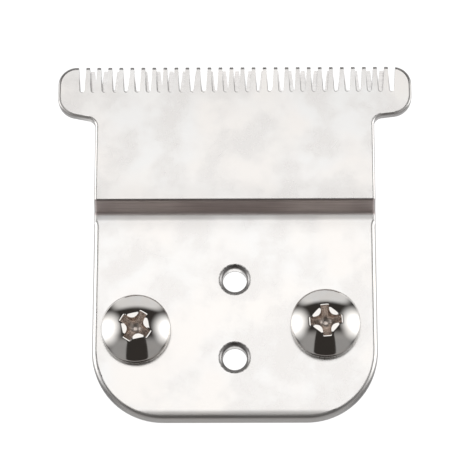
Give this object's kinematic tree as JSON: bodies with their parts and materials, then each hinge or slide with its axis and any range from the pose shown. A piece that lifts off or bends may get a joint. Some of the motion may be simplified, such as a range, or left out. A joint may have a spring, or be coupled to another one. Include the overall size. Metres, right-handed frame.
{
  "type": "hair clipper blade set",
  "caption": "T-shaped hair trimmer blade: a stepped steel comb blade with tapered teeth, a toothed cutter that slides behind it, and pan-head fixing screws.",
  "frame": {"origin": "midway between the two centre holes, on the back face of the mounting plate", "axes": "+X along the tooth row to the right as the front is seen, +Y towards the tooth tips, +Z out of the front face"},
  "size_m": [0.0406, 0.0411, 0.0084],
  "materials": {
    "comb_steel": "tumbled and polished stainless steel sheet with a soft cloudy sheen",
    "cutter_steel": "ground steel with fine lines along the stroke",
    "screw_plating": "bright nickel plating"
  },
  "bodies": {
    "comb": {"comb_blade": "comb_steel", "left_screw": "screw_plating", "right_screw": "screw_plating"},
    "cutter": {"cutter_blade": "cutter_steel"}
  },
  "joints": [
    {"name": "cutter_slide", "type": "slide", "parent": "comb", "child": "cutter", "axis": [1, 0, 0], "range_m": [-0.0013, 0.0013]}
  ]
}
